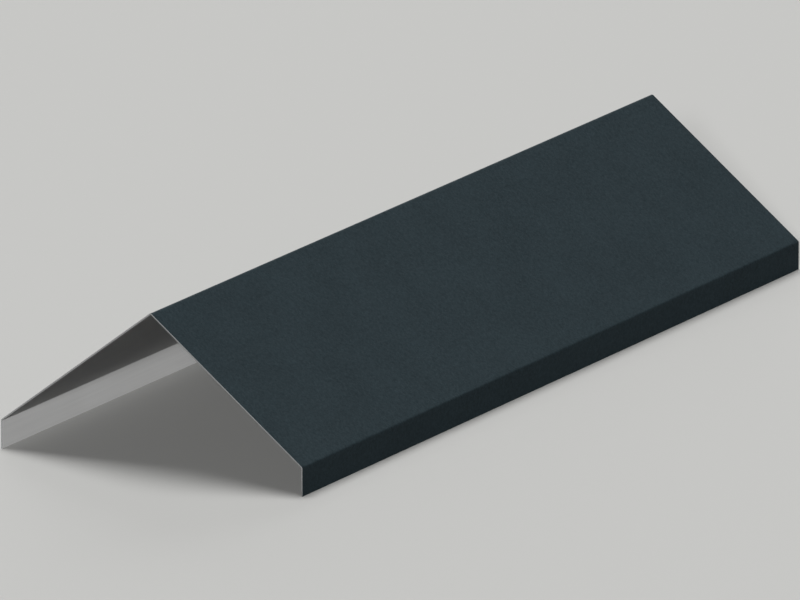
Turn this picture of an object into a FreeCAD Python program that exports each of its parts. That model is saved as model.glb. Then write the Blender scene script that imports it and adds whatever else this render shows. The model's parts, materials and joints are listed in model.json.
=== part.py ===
"""Roof ridge cap: one length of coated aluminium sheet with three folds.

The section lies in the XZ plane and the cap runs along Y, with Z up. Followed from left to right,
the sheet climbs the left lip, then the left wing, turns over at the ridge, and comes down the right
wing and the right lip. Its outer face is on the left hand of that walk and its inner face on the right.
The origin is on the floor under the middle of the cap, which stands on the lower edges of its lips.
"""

import FreeCAD
import Part

import math
import os

# Driving dimensions, in millimetres and degrees
LENGTH = 1000.0          # along the ridge, from one square-cut end to the other
WING_WIDTH = 220.0       # down the slope, between the sharp outer corners of the ridge and eave folds
LIP_HEIGHT = 30.0        # from the sharp outer corner of the eave fold to the lip's free edge
RIDGE_ANGLE = 105.0      # between the two wings, under the ridge
SHEET_THICKNESS = 1.5
FOLD_RADIUS = 1.5        # on the inner face of each fold

outer_radius = FOLD_RADIUS + SHEET_THICKNESS

# The ways that the sheet heads: the lips are upright, and the wings share the ridge angle
along_ridge = FreeCAD.Vector(0, 1, 0)
up = FreeCAD.Vector(0, 0, 1)
down = FreeCAD.Vector(0, 0, -1)
half_ridge = math.radians(RIDGE_ANGLE) / 2
up_slope = FreeCAD.Vector(math.sin(half_ridge), 0, math.cos(half_ridge))
down_slope = FreeCAD.Vector(math.sin(half_ridge), 0, -math.cos(half_ridge))


def outwards(heading):
    """The way that the outer face of a flat looks, where the flat runs along heading."""
    return heading.cross(along_ridge)


def setback(heading, next_heading):
    """How far along the outer face a fold's curve starts from its sharp corner."""
    return outer_radius * math.tan(heading.getAngle(next_heading) / 2)


def straight(start, end):
    return Part.LineSegment(start, end).toShape()


def fold_curve(centre, radius, heading, next_heading):
    """The arc of one face round a fold, from one flat to the next."""
    first = outwards(heading)
    last = outwards(next_heading)
    middle = (first + last).normalize()
    return Part.Arc(*[centre + way * radius for way in (first, middle, last)]).toShape()


def sheet_section(headings, widths):
    """The sheet's section, with the sheet's first outer corner at the origin.

    headings are the ways that the flats run, in order, and widths are the flats' widths between
    sharp outer corners.
    """
    setbacks = [0.0, *map(setback, headings, headings[1:]), 0.0]
    outer_face = []
    inner_face = []
    start = FreeCAD.Vector()
    for place, heading in enumerate(headings):
        end = start + heading * (widths[place] - setbacks[place] - setbacks[place + 1])
        through_sheet = outwards(heading) * -SHEET_THICKNESS
        outer_face.append(straight(start, end))
        inner_face.append(straight(start + through_sheet, end + through_sheet))
        if place + 1 < len(headings):
            next_heading = headings[place + 1]
            centre = end - outwards(heading) * outer_radius
            outer_face.append(fold_curve(centre, outer_radius, heading, next_heading))
            inner_face.append(fold_curve(centre, FOLD_RADIUS, heading, next_heading))
            start = centre + outwards(next_heading) * outer_radius
    first_edge = straight(inner_face[0].firstVertex().Point, outer_face[0].firstVertex().Point)
    last_edge = straight(outer_face[-1].lastVertex().Point, inner_face[-1].lastVertex().Point)
    outline = Part.Wire([*outer_face, last_edge, *reversed(inner_face), first_edge])
    return Part.Face(outline)


def ridge_cap():
    """The folded sheet, standing on its lips and centred on the origin."""
    section = sheet_section(
        headings=[up, up_slope, down_slope, down],
        widths=[LIP_HEIGHT, WING_WIDTH, WING_WIDTH, LIP_HEIGHT],
    )
    sheet = section.extrude(along_ridge * LENGTH)
    box = sheet.BoundBox
    sheet.translate(FreeCAD.Vector(-box.Center.x, -box.Center.y, -box.ZMin))
    return sheet


if __name__ == "__main__":
    os.makedirs("parts", exist_ok=True)
    ridge_cap().exportStep("parts/ridge_cap.step")
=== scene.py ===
"""Roof ridge cap: a coated sheet cut flat, folded over its ridge and eaves, and set on a plain stage."""

import json
import math

import bpy
import numpy as np
from bpy.props import FloatProperty, FloatVectorProperty, IntProperty, PointerProperty
from mathutils import Color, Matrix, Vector


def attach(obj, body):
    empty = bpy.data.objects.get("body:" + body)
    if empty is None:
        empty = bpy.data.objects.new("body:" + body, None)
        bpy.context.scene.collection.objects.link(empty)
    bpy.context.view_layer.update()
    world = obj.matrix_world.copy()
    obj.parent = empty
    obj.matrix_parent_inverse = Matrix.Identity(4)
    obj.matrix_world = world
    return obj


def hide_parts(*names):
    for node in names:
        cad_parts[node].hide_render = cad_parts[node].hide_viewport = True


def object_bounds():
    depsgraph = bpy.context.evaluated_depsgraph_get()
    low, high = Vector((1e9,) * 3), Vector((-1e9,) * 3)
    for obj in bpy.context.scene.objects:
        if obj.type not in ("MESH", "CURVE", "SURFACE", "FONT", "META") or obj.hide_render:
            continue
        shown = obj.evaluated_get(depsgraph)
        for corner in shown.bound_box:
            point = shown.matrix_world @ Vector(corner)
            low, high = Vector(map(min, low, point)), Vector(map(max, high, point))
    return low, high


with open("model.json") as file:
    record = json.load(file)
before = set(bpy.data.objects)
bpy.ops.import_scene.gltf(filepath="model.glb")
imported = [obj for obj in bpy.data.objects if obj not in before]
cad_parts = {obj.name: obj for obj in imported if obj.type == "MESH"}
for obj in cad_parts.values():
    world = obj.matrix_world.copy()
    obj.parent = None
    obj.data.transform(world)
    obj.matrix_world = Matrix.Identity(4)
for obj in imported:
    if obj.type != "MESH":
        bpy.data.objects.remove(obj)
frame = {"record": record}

bl_info = {
    "name": "Roof Ridge Cap",
    "version": (1, 0, 0),
    "blender": (4, 5, 0),
    "location": "View3D > Sidebar > Ridge Cap",
    "description": "Folds a coated sheet into a roof ridge cap and sets it on a plain stage",
    "category": "Add Mesh",
}

NODE = "ridge_cap"
SLOT = "coated_sheet"
BODY = "root"
PIECE = "folded_sheet"

# Attributes that remember the flat blank: where each point lay on it, and which way each face looked
FLAT_PLACE = "flat_place"
FLAT_FACING = "flat_facing"

# Places of the sockets with which a Mix node mixes colours
MIX_SHARE = 0
MIX_FIRST = 6
MIX_SECOND = 7
MIX_RESULT = 2

# What a Noise node's values lie about
NOISE_MEAN = 0.5

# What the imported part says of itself
CAD_LOW, CAD_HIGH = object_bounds()
MOUNTS = {mount["name"]: mount for mount in frame["record"]["mounts"]}
COLOURS = {finish["slot"]: finish["base_color"] for finish in frame["record"]["materials"]}
WING_OUTSIDE = Vector(MOUNTS["right_wing_lap"]["pos_m"])
WING_INSIDE = Vector(MOUNTS["right_wing_underside"]["pos_m"])
WING_NORMAL = Vector(MOUNTS["right_wing_lap"]["axis"])


def shown(red, green, blue):
    """A colour as a screen shows it, each part up to 255, in the linear values that shaders take."""
    return Color((red / 255, green / 255, blue / 255)).from_srgb_to_scene_linear()[:]


class RidgeCapSheet(bpy.types.PropertyGroup):
    """Sizes of the sheet and of its faces."""

    length: FloatProperty(
        name="Length",
        description="Along the ridge",
        default=CAD_HIGH.y - CAD_LOW.y,
        unit="LENGTH",
    )
    half_span: FloatProperty(
        name="Half Span",
        description="From the ridge to the outside of a lip",
        default=CAD_HIGH.x,
        unit="LENGTH",
    )
    height: FloatProperty(
        name="Height",
        description="From the lower edges of the lips to the top of the ridge",
        default=CAD_HIGH.z,
        unit="LENGTH",
    )
    pitch: FloatProperty(
        name="Pitch",
        description="Slope of each wing",
        default=math.atan2(WING_NORMAL.x, WING_NORMAL.z),
        subtype="ANGLE",
    )
    thickness: FloatProperty(
        name="Thickness",
        description="Of the sheet with its coats",
        default=(WING_OUTSIDE - WING_INSIDE).dot(WING_NORMAL),
        unit="LENGTH",
        precision=5,
    )
    fold_radius: FloatProperty(
        name="Fold Radius",
        description="Of every fold, on the inner face",
        default=0.0015,
        unit="LENGTH",
        precision=5,
    )
    edge_roll: FloatProperty(
        name="Edge Roll",
        description="Radius to which the shears drew down the outer face along a cut",
        default=0.00025,
        unit="LENGTH",
        precision=5,
    )
    edge_break: FloatProperty(
        name="Edge Break",
        description="Radius left along a cut on the inner face",
        default=0.0001,
        unit="LENGTH",
        precision=5,
    )
    margin: FloatProperty(
        name="Margin",
        description="Width of the narrow faces beside each fold and cut, which keep the flats' shading flat",
        default=0.0006,
        unit="LENGTH",
        precision=5,
    )
    flat_step: FloatProperty(
        name="Flat Step",
        description="Largest face on the flats",
        default=0.02,
        unit="LENGTH",
    )
    fold_step: FloatProperty(
        name="Fold Step",
        description="Largest turn from face to face round a fold",
        default=math.radians(5),
        subtype="ANGLE",
    )
    roll_steps: IntProperty(
        name="Roll Steps",
        description="Faces round the roll of a cut edge",
        default=4,
    )


class RidgeCapFinish(bpy.types.PropertyGroup):
    """Colours of the sheet's two coats and of its cut edges, and the paint's texture."""

    topcoat: FloatVectorProperty(
        name="Topcoat",
        description="Anthracite powder paint on the outer face",
        default=COLOURS[SLOT],
        subtype="COLOR",
    )
    back_coat: FloatVectorProperty(
        name="Back Coat",
        description="Pale grey lacquer on the inner face",
        default=shown(230, 230, 229),
        subtype="COLOR",
    )
    bare_metal: FloatVectorProperty(
        name="Bare Metal",
        description="Aluminium where the sheet was cut",
        default=shown(168, 169, 170),
        subtype="COLOR",
    )
    grain_size: FloatProperty(
        name="Grain Size",
        description="Of the lumps in the topcoat's fine texture",
        default=0.0016,
        unit="LENGTH",
        precision=5,
    )
    grain_height: FloatProperty(
        name="Grain Height",
        description="Of the lumps in the topcoat's fine texture",
        default=0.0002,
        unit="LENGTH",
        precision=6,
    )


class RidgeCapStage(bpy.types.PropertyGroup):
    """Camera, floor and lamps."""

    azimuth: FloatProperty(
        name="Azimuth",
        description="Of the camera, from the near end round by the right wing",
        default=math.radians(30.48),
        subtype="ANGLE",
    )
    elevation: FloatProperty(
        name="Elevation",
        description="Of the camera",
        default=math.radians(15.19),
        subtype="ANGLE",
    )
    lens: FloatProperty(
        name="Lens",
        description="Focal length, so long that the sheet's edges look parallel",
        default=850.0,
        unit="CAMERA",
    )
    view_width: FloatProperty(
        name="View Width",
        description="Width of the picture at the aim",
        default=0.8105,
        unit="LENGTH",
    )
    aim: FloatVectorProperty(
        name="Aim",
        description="Point in the middle of the picture",
        default=(-0.0137, 0.0096, 0.0561),
        subtype="TRANSLATION",
    )
    floor: FloatVectorProperty(
        name="Floor",
        description="Colour in which the floor is seen",
        default=shown(186, 186, 184),
        subtype="COLOR",
    )
    floor_bounce: FloatVectorProperty(
        name="Floor Bounce",
        description="Colour in which the floor lights the sheet from below",
        default=shown(36, 36, 36),
        subtype="COLOR",
    )
    key: FloatProperty(
        name="Key",
        description="Strength of the lamp beside the camera",
        default=0.82,
        subtype="FACTOR",
    )
    top: FloatProperty(
        name="Top",
        description="Strength of the lamp overhead",
        default=0.78,
        subtype="FACTOR",
    )
    fill: FloatProperty(
        name="Fill",
        description="Strength of the lamp behind",
        default=0.3,
        subtype="FACTOR",
    )
    surround: FloatProperty(
        name="Surround",
        description="Strength of the even light from all round",
        default=0.05,
        subtype="FACTOR",
    )


class Wire:
    """A socket of a node tree. Arithmetic on it adds Math nodes, and node() adds any other kind."""

    def __init__(self, tree, socket=None):
        self.tree = tree
        self.socket = socket

    def node(self, kind, settings=None, sockets=None, output=0):
        """Adds a node, makes its settings, fills or links its sockets, and gives one of its outputs."""
        added = self.tree.nodes.new(kind)
        for name, setting in (settings or {}).items():
            setattr(added, name, setting)
        for place, value in (sockets or {}).items():
            socket = added.inputs[place]
            if isinstance(value, Wire):
                self.tree.links.new(value.socket, socket)
            elif socket.type == "RGBA":
                socket.default_value = (*value, 1.0)
            else:
                socket.default_value = value
        return Wire(self.tree, added.outputs[output] if added.outputs else None)

    def output(self, name):
        """Another output of the same node."""
        return Wire(self.tree, self.socket.node.outputs[name])

    def math(self, operation, *others):
        """A Math node on this value and the others."""
        return self.node("ShaderNodeMath", {"operation": operation}, dict(enumerate((self, *others))))

    def between(self, low, high):
        """This value, kept from going below low or above high."""
        return self.math("MAXIMUM", low).math("MINIMUM", high)

    def __add__(self, other):
        return self.math("ADD", other)

    def __sub__(self, other):
        return self.math("SUBTRACT", other)

    def __mul__(self, other):
        return self.math("MULTIPLY", other)

    def __truediv__(self, other):
        return self.math("DIVIDE", other)

    def __rsub__(self, other):
        return self * -1 + other

    __radd__ = __add__
    __rmul__ = __mul__


class FlatPattern:
    """Half widths of the flat blank, from the ridge out, along the middle of the sheet's thickness."""

    def __init__(self, sizes):
        outer_radius = sizes.fold_radius + sizes.thickness
        self.middle_radius = sizes.fold_radius + sizes.thickness / 2
        self.eave_turn = math.pi / 2 - sizes.pitch

        # Widths between the sharp corners that the folds round off, and what each fold takes from them
        wing_width = sizes.half_span / math.cos(sizes.pitch)
        ridge_loss = outer_radius * (1 / math.cos(sizes.pitch) - 1)
        lip_height = sizes.height + ridge_loss - wing_width * math.sin(sizes.pitch)
        ridge_setback = outer_radius * math.tan(sizes.pitch)
        eave_setback = outer_radius * math.tan(self.eave_turn / 2)

        self.wing_start = self.middle_radius * sizes.pitch
        self.wing_end = self.wing_start + wing_width - ridge_setback - eave_setback
        self.lip_start = self.wing_end + self.middle_radius * self.eave_turn
        self.lip_end = self.lip_start + lip_height - eave_setback


def steps(start, end, largest):
    """Evenly spaced places from start, which is left out, to end."""
    count = math.ceil((end - start) / largest)
    return np.linspace(start, end, count + 1)[1:]


def steps_to_cut(start, cut, sizes):
    """Places from start over a flat to the cut that ends it, closer together round the rolled edge."""
    flat_end = cut - sizes.edge_roll
    turns = np.linspace(0, math.pi / 2, sizes.roll_steps + 1)
    rolled = flat_end + sizes.edge_roll * np.sin(turns)
    return [*steps(start, flat_end - sizes.margin, sizes.flat_step), *rolled]


def both_halves(places):
    """Places from the middle out, and the same on the other side."""
    half = np.array(places)
    return np.concatenate([-half[:0:-1], half])


def drawn_down(inset, radius):
    """How far a rounded edge lies below its flat, at a place that far in from the cut."""
    short = np.maximum(radius - inset, 0)
    return radius - np.sqrt(radius ** 2 - short ** 2)


def cut_blank(sizes, pattern):
    """The sheet as it leaves the shears: X across it, Y along the ridge and Z through it, outer face up."""
    fold_step = pattern.middle_radius * sizes.fold_step
    wing_first = pattern.wing_start + sizes.margin
    wing_last = pattern.wing_end - sizes.margin
    lip_first = pattern.lip_start + sizes.margin
    across_places = both_halves([
        0.0,
        *steps(0, pattern.wing_start, fold_step),
        wing_first,
        *steps(wing_first, wing_last, sizes.flat_step),
        pattern.wing_end,
        *steps(pattern.wing_end, pattern.lip_start, fold_step),
        lip_first,
        *steps_to_cut(lip_first, pattern.lip_end, sizes),
    ])
    along_places = both_halves([0.0, *steps_to_cut(0, sizes.length / 2, sizes)])
    across, along = np.meshgrid(across_places, along_places)

    inset = np.minimum(pattern.lip_end - abs(across), sizes.length / 2 - abs(along))
    outer_face = sizes.thickness / 2 - drawn_down(inset, sizes.edge_roll)
    inner_face = drawn_down(inset, sizes.edge_break) - sizes.thickness / 2
    faces = (outer_face, inner_face)
    points = [np.stack([across, along, face], axis=-1).reshape(-1, 3) for face in faces]

    grid = np.arange(across.size).reshape(across.shape)
    corners = [grid[:-1, :-1], grid[:-1, 1:], grid[1:, 1:], grid[1:, :-1]]
    outer_quads = np.stack(corners, axis=-1).reshape(-1, 4)
    inner_quads = outer_quads[:, ::-1] + across.size
    rim = np.concatenate([grid[0, :-1], grid[:-1, -1], grid[-1, :0:-1], grid[:0:-1, 0]])
    next_on_rim = np.roll(rim, -1)
    cut_quads = np.stack([rim, rim + across.size, next_on_rim + across.size, next_on_rim], axis=-1)

    blank = bpy.data.meshes.new(PIECE)
    blank.from_pydata(
        np.concatenate(points).tolist(),
        [],
        np.concatenate([outer_quads, inner_quads, cut_quads]).tolist(),
    )
    return blank


def fold_tree():
    """Geometry Nodes that bend a flat blank over the ridge and down into both lips, and finish each side.

    A point's turn grows from 0 at the ridge to the pitch on the wing and to upright on the lip. It lies
    the middle radius and its own height in the sheet out from the centre of that turn, and the flats
    that the sheet has already run down carry the centre along.
    """
    tree = bpy.data.node_groups.new("Fold Blank", "GeometryNodeTree")
    sizes = ("Middle Radius", "Pitch", "Eave Turn", "Wing Start", "Wing End", "Lip Start", "Ridge Height")
    tree.interface.new_socket("Blank", in_out="INPUT", socket_type="NodeSocketGeometry")
    for name in sizes:
        tree.interface.new_socket(name, in_out="INPUT", socket_type="NodeSocketFloat")
    for name in ("Topcoat", "Back Coat", "Bare Metal"):
        tree.interface.new_socket(name, in_out="INPUT", socket_type="NodeSocketMaterial")
    tree.interface.new_socket("Sheet", in_out="OUTPUT", socket_type="NodeSocketGeometry")

    blank = Wire(tree).node("NodeGroupInput")
    radius, pitch, eave_turn, wing_start, wing_end, lip_start, ridge_height = map(blank.output, sizes)
    flat_place = blank.node("GeometryNodeInputPosition")
    across = blank.node("ShaderNodeSeparateXYZ", sockets={"Vector": flat_place}, output="X")
    from_centre = radius + across.output("Z")

    from_ridge = across.math("ABSOLUTE")
    ridge_turned = (from_ridge / radius).between(0, pitch)
    eave_turned = ((from_ridge - wing_end) / radius).between(0, eave_turn)
    turned = ridge_turned + eave_turned
    down_wing = (from_ridge - wing_start).between(0, wing_end - wing_start)
    down_lip = (from_ridge - lip_start).math("MAXIMUM", 0)
    outwards = down_wing * pitch.math("COSINE") + from_centre * turned.math("SINE")
    centre_height = ridge_height - radius - down_wing * pitch.math("SINE") - down_lip
    folded_place = blank.node("ShaderNodeCombineXYZ", sockets={
        "X": outwards * across.math("SIGN"),
        "Y": across.output("Y"),
        "Z": centre_height + from_centre * turned.math("COSINE"),
    })

    flat_normal = blank.node("GeometryNodeInputNormal")
    flat_facing = blank.node("ShaderNodeSeparateXYZ", sockets={"Vector": flat_normal}, output="Z")
    marked = blank.node(
        "GeometryNodeStoreNamedAttribute",
        {"data_type": "FLOAT_VECTOR", "domain": "POINT"},
        {"Geometry": blank, "Name": FLAT_PLACE, "Value": flat_place},
    )
    marked = blank.node(
        "GeometryNodeStoreNamedAttribute",
        {"data_type": "FLOAT", "domain": "FACE"},
        {"Geometry": marked, "Name": FLAT_FACING, "Value": flat_facing},
    )
    folded = blank.node("GeometryNodeSetPosition", sockets={"Geometry": marked, "Position": folded_place})
    smooth = blank.node("GeometryNodeSetShadeSmooth", sockets={"Geometry": folded})
    sheet = blank.node("GeometryNodeRealizeInstances", sockets={"Geometry": smooth})

    facing = blank.node("GeometryNodeInputNamedAttribute", {"data_type": "FLOAT"}, {"Name": FLAT_FACING})
    least_coated = 0.5
    sides = {
        "Topcoat": facing.math("GREATER_THAN", least_coated),
        "Back Coat": facing.math("LESS_THAN", -least_coated),
        "Bare Metal": facing.math("ABSOLUTE").math("LESS_THAN", least_coated),
    }
    for name, side in sides.items():
        sheet = blank.node(
            "GeometryNodeSetMaterial",
            sockets={"Geometry": sheet, "Selection": side, "Material": blank.output(name)},
        )
    blank.node("NodeGroupOutput", sockets={"Sheet": sheet})
    return tree


def new_material(name):
    """An empty material, and a Wire with which its nodes are added."""
    material = bpy.data.materials.new(name)
    material.use_nodes = True
    material.node_tree.nodes.clear()
    return material, Wire(material.node_tree)


def surface(hand, sockets):
    """Ends a material in a Principled shader."""
    shader = hand.node("ShaderNodeBsdfPrincipled", sockets=sockets)
    hand.node("ShaderNodeOutputMaterial", sockets={"Surface": shader})


def flat_place(hand):
    """Where a point was on the flat blank."""
    return hand.node("ShaderNodeAttribute", {"attribute_name": FLAT_PLACE}, output="Vector")


def lumps(hand, across, detail, along=None, through=None):
    """Noise in lumps of these sizes in the sheet. A size that isn't given is the one across."""
    size = (across, along or across, through or across)
    place = hand.node("ShaderNodeVectorMath", {"operation": "DIVIDE"}, {0: flat_place(hand), 1: size})
    return hand.node("ShaderNodeTexNoise", sockets={"Vector": place, "Scale": 1.0, "Detail": detail})


def mixed(hand, share, first, second):
    """A colour that goes from first to second as share goes from 0 to 1."""
    sockets = {MIX_SHARE: share, MIX_FIRST: first, MIX_SECOND: second}
    return hand.node("ShaderNodeMix", {"data_type": "RGBA"}, sockets, output=MIX_RESULT)


def varied(hand, colour, spread, share):
    """A colour that goes from darker to lighter by that spread as share goes from 0 to 1."""
    darker = [part * (1 - spread) for part in colour]
    lighter = [part * (1 + spread) for part in colour]
    return mixed(hand, share, darker, lighter)


def embossed(hand, height):
    """Normals of a surface raised by that height in metres."""
    return hand.node("ShaderNodeBump", sockets={"Distance": 1.0, "Height": height}, output="Normal")


def topcoat_material(finish):
    """Matt powder paint: a fine grain on soft ripples, faintly cloudy, its sheen drawn out lengthwise, with
    painted shade in the hollows of the grain and ripples.
    """
    ripple_size = 0.004
    ripple_to_grain_height = 1.6
    cloud_size = 0.07
    flow_width = 0.011
    flow_length = 0.33
    colour_spread = 0.45
    ripple_painted_shade = 0.5
    cloud_tint = 0.35
    mean_roughness = 0.64
    flow_roughness = 0.16
    cloud_roughness = 0.1

    material, hand = new_material("anthracite_topcoat")
    grain = lumps(hand, finish.grain_size, detail=3)
    ripples = lumps(hand, ripple_size, detail=1)
    clouds = lumps(hand, cloud_size, detail=3) - NOISE_MEAN
    flow = lumps(hand, flow_width, detail=2, along=flow_length) - NOISE_MEAN
    # Painted shade: the colour is lighter on the crests of the grain and ripples and darker in their
    # hollows; the clouds are the paint's own mottling
    painted_shade_and_mottle = grain + (ripples - NOISE_MEAN) * ripple_painted_shade + clouds * cloud_tint
    surface(hand, {
        "Base Color": varied(hand, finish.topcoat, colour_spread, painted_shade_and_mottle),
        "Roughness": mean_roughness + flow * flow_roughness + clouds * cloud_roughness,
        "Specular IOR Level": 0.03,
        "Normal": embossed(hand, (grain + ripples * ripple_to_grain_height) * finish.grain_height),
    })
    return material


def back_coat_material(finish):
    """Thin roller-coated lacquer: fine lengthwise streaks on a faintly cloudy grey."""
    streak_width = 0.0024
    streak_length = 0.2
    streak_height = 0.000006
    cloud_size = 0.1
    colour_spread = 0.06
    least_roughness = 0.48
    streak_roughness = 0.14

    material, hand = new_material("grey_back_coat")
    streaks = lumps(hand, streak_width, detail=2, along=streak_length)
    clouds = lumps(hand, cloud_size, detail=2) - NOISE_MEAN
    surface(hand, {
        "Base Color": varied(hand, finish.back_coat, colour_spread, streaks + clouds),
        "Roughness": least_roughness + streaks * streak_roughness,
        "Specular IOR Level": 0.1,
        "Normal": embossed(hand, streaks * streak_height),
    })
    return material


def bare_metal_material(finish):
    """A sheared edge: bright where the blade cut in from the outer face, torn and dull below."""
    tear_width = 0.0004
    tear_length = 0.002
    tear_height = 0.00002
    tear_wander = 0.0006
    torn_below = -0.0002
    bright_above = 0.0001
    colour_spread = 0.3
    torn_roughness = 0.65
    bright_smoothness = 0.2

    material, hand = new_material("sheared_metal")
    tears = lumps(hand, tear_width, detail=2, through=tear_length)
    depth = hand.node("ShaderNodeSeparateXYZ", sockets={"Vector": flat_place(hand)}, output="Z")
    bright = hand.node(
        "ShaderNodeMapRange",
        {"interpolation_type": "SMOOTHSTEP"},
        {
            "Value": depth + (tears - NOISE_MEAN) * tear_wander,
            "From Min": torn_below,
            "From Max": bright_above,
        },
    )
    surface(hand, {
        "Base Color": varied(hand, finish.bare_metal, colour_spread, (bright + tears) / 2),
        "Metallic": 1.0,
        "Roughness": torn_roughness - bright * bright_smoothness,
        "Normal": embossed(hand, tears * tear_height),
    })
    return material


class RIDGECAP_OT_fold_sheet(bpy.types.Operator):
    """Cut the blank, fold it into the cap and finish its sides"""

    bl_idname = "ridge_cap.fold_sheet"
    bl_label = "Fold Sheet"

    def execute(self, context):
        sizes = context.scene.ridge_cap_sheet
        finish = context.scene.ridge_cap_finish
        pattern = FlatPattern(sizes)
        inputs = {
            "Middle Radius": pattern.middle_radius,
            "Pitch": sizes.pitch,
            "Eave Turn": pattern.eave_turn,
            "Wing Start": pattern.wing_start,
            "Wing End": pattern.wing_end,
            "Lip Start": pattern.lip_start,
            "Ridge Height": sizes.height - sizes.thickness / 2,
            "Topcoat": topcoat_material(finish),
            "Back Coat": back_coat_material(finish),
            "Bare Metal": bare_metal_material(finish),
        }
        sheet = bpy.data.objects.new(PIECE, cut_blank(sizes, pattern))
        context.scene.collection.objects.link(sheet)
        fold = sheet.modifiers.new("Fold Blank", "NODES")
        fold.node_group = fold_tree()
        for socket in fold.node_group.interface.items_tree:
            if socket.name in inputs:
                fold[socket.identifier] = inputs[socket.name]
        evaluated = sheet.evaluated_get(context.evaluated_depsgraph_get())
        folded = bpy.data.meshes.new_from_object(evaluated)
        sheet.modifiers.remove(fold)
        sheet.data = folded
        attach(sheet, BODY)
        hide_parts(NODE)
        return {"FINISHED"}


def towards(azimuth, elevation):
    """The way out from the cap, with azimuth from its near end round by its right wing."""
    level = math.cos(elevation)
    return Vector((math.sin(azimuth) * level, -math.cos(azimuth) * level, math.sin(elevation)))


def floor_material(stage):
    """A pale matt floor that lights the sheet less than it shows."""
    material, hand = new_material("floor")
    camera_ray = hand.node("ShaderNodeLightPath", output="Is Camera Ray")
    seen = camera_ray + camera_ray.output("Is Glossy Ray") + camera_ray.output("Is Transmission Ray")
    surface(hand, {
        "Base Color": mixed(hand, seen.between(0, 1), stage.floor_bounce, stage.floor),
        "Roughness": 0.9,
        "Specular IOR Level": 0.1,
    })
    return material


def lay_floor(stage):
    """A level floor that reaches past the edges of every view."""
    reach = 40.0
    corners = [(-reach, -reach, 0), (reach, -reach, 0), (reach, reach, 0), (-reach, reach, 0)]
    mesh = bpy.data.meshes.new("floor")
    mesh.from_pydata(corners, [], [(0, 1, 2, 3)])
    mesh.materials.append(floor_material(stage))
    floor = bpy.data.objects.new("floor", mesh)
    bpy.context.scene.collection.objects.link(floor)


def hang_lamp(name, strength, azimuth, elevation, spread):
    """A soft lamp far off. Strength 1 shows a face that looks straight at it in its own colour."""
    lamp = bpy.data.lights.new(name, "SUN")
    lamp.energy = strength * math.pi
    lamp.angle = math.radians(spread)
    holder = bpy.data.objects.new(name, lamp)
    way = towards(math.radians(azimuth), math.radians(elevation))
    holder.rotation_euler = way.to_track_quat("Z", "Y").to_euler()
    bpy.context.scene.collection.objects.link(holder)


def light_surround(strength):
    """Even light from all round."""
    world = bpy.data.worlds.new("surround")
    world.use_nodes = True
    world.node_tree.nodes.clear()
    hand = Wire(world.node_tree)
    even = hand.node("ShaderNodeBackground", sockets={"Color": (1, 1, 1), "Strength": strength})
    hand.node("ShaderNodeOutputWorld", sockets={"Surface": even})
    bpy.context.scene.world = world


def set_camera(stage):
    """A camera far off, with the aim in the middle of its picture."""
    camera = bpy.data.cameras.new("camera")
    camera.lens = stage.lens
    distance = stage.view_width * stage.lens / camera.sensor_width
    camera.clip_end = distance * 2
    back = towards(stage.azimuth, stage.elevation)
    holder = bpy.data.objects.new("camera", camera)
    holder.location = Vector(stage.aim) + back * distance
    holder.rotation_euler = back.to_track_quat("Z", "Y").to_euler()
    bpy.context.scene.collection.objects.link(holder)
    bpy.context.scene.camera = holder


class RIDGECAP_OT_set_stage(bpy.types.Operator):
    """Lay the floor, hang the lamps and set the camera"""

    bl_idname = "ridge_cap.set_stage"
    bl_label = "Set Stage"

    def execute(self, context):
        stage = context.scene.ridge_cap_stage
        lay_floor(stage)
        hang_lamp("key", stage.key, azimuth=26, elevation=17.4, spread=5)
        hang_lamp("top", stage.top, azimuth=240, elevation=78, spread=40)
        hang_lamp("fill", stage.fill, azimuth=210, elevation=16, spread=40)
        light_surround(stage.surround)
        set_camera(stage)
        context.scene.view_settings.view_transform = "Standard"
        return {"FINISHED"}


class RIDGECAP_PT_sidebar(bpy.types.Panel):
    """Sizes, finishes and stage of the ridge cap"""

    bl_idname = "RIDGECAP_PT_sidebar"
    bl_label = "Ridge Cap"
    bl_space_type = "VIEW_3D"
    bl_region_type = "UI"
    bl_category = "Ridge Cap"

    def draw(self, context):
        for name, group in GROUPS.items():
            box = self.layout.box()
            for setting in group.__annotations__:
                box.prop(getattr(context.scene, name), setting)
        for operator in OPERATORS:
            self.layout.operator(operator.bl_idname)


GROUPS = {
    "ridge_cap_sheet": RidgeCapSheet,
    "ridge_cap_finish": RidgeCapFinish,
    "ridge_cap_stage": RidgeCapStage,
}
OPERATORS = (RIDGECAP_OT_fold_sheet, RIDGECAP_OT_set_stage)
CLASSES = (*GROUPS.values(), *OPERATORS, RIDGECAP_PT_sidebar)


def register():
    for kind in CLASSES:
        bpy.utils.register_class(kind)
    for name, group in GROUPS.items():
        setattr(bpy.types.Scene, name, PointerProperty(type=group))


def unregister():
    for name in GROUPS:
        delattr(bpy.types.Scene, name)
    for kind in reversed(CLASSES):
        bpy.utils.unregister_class(kind)


def main():
    register()
    bpy.ops.ridge_cap.fold_sheet()
    bpy.ops.ridge_cap.set_stage()


if __name__ == "__main__":
    main()
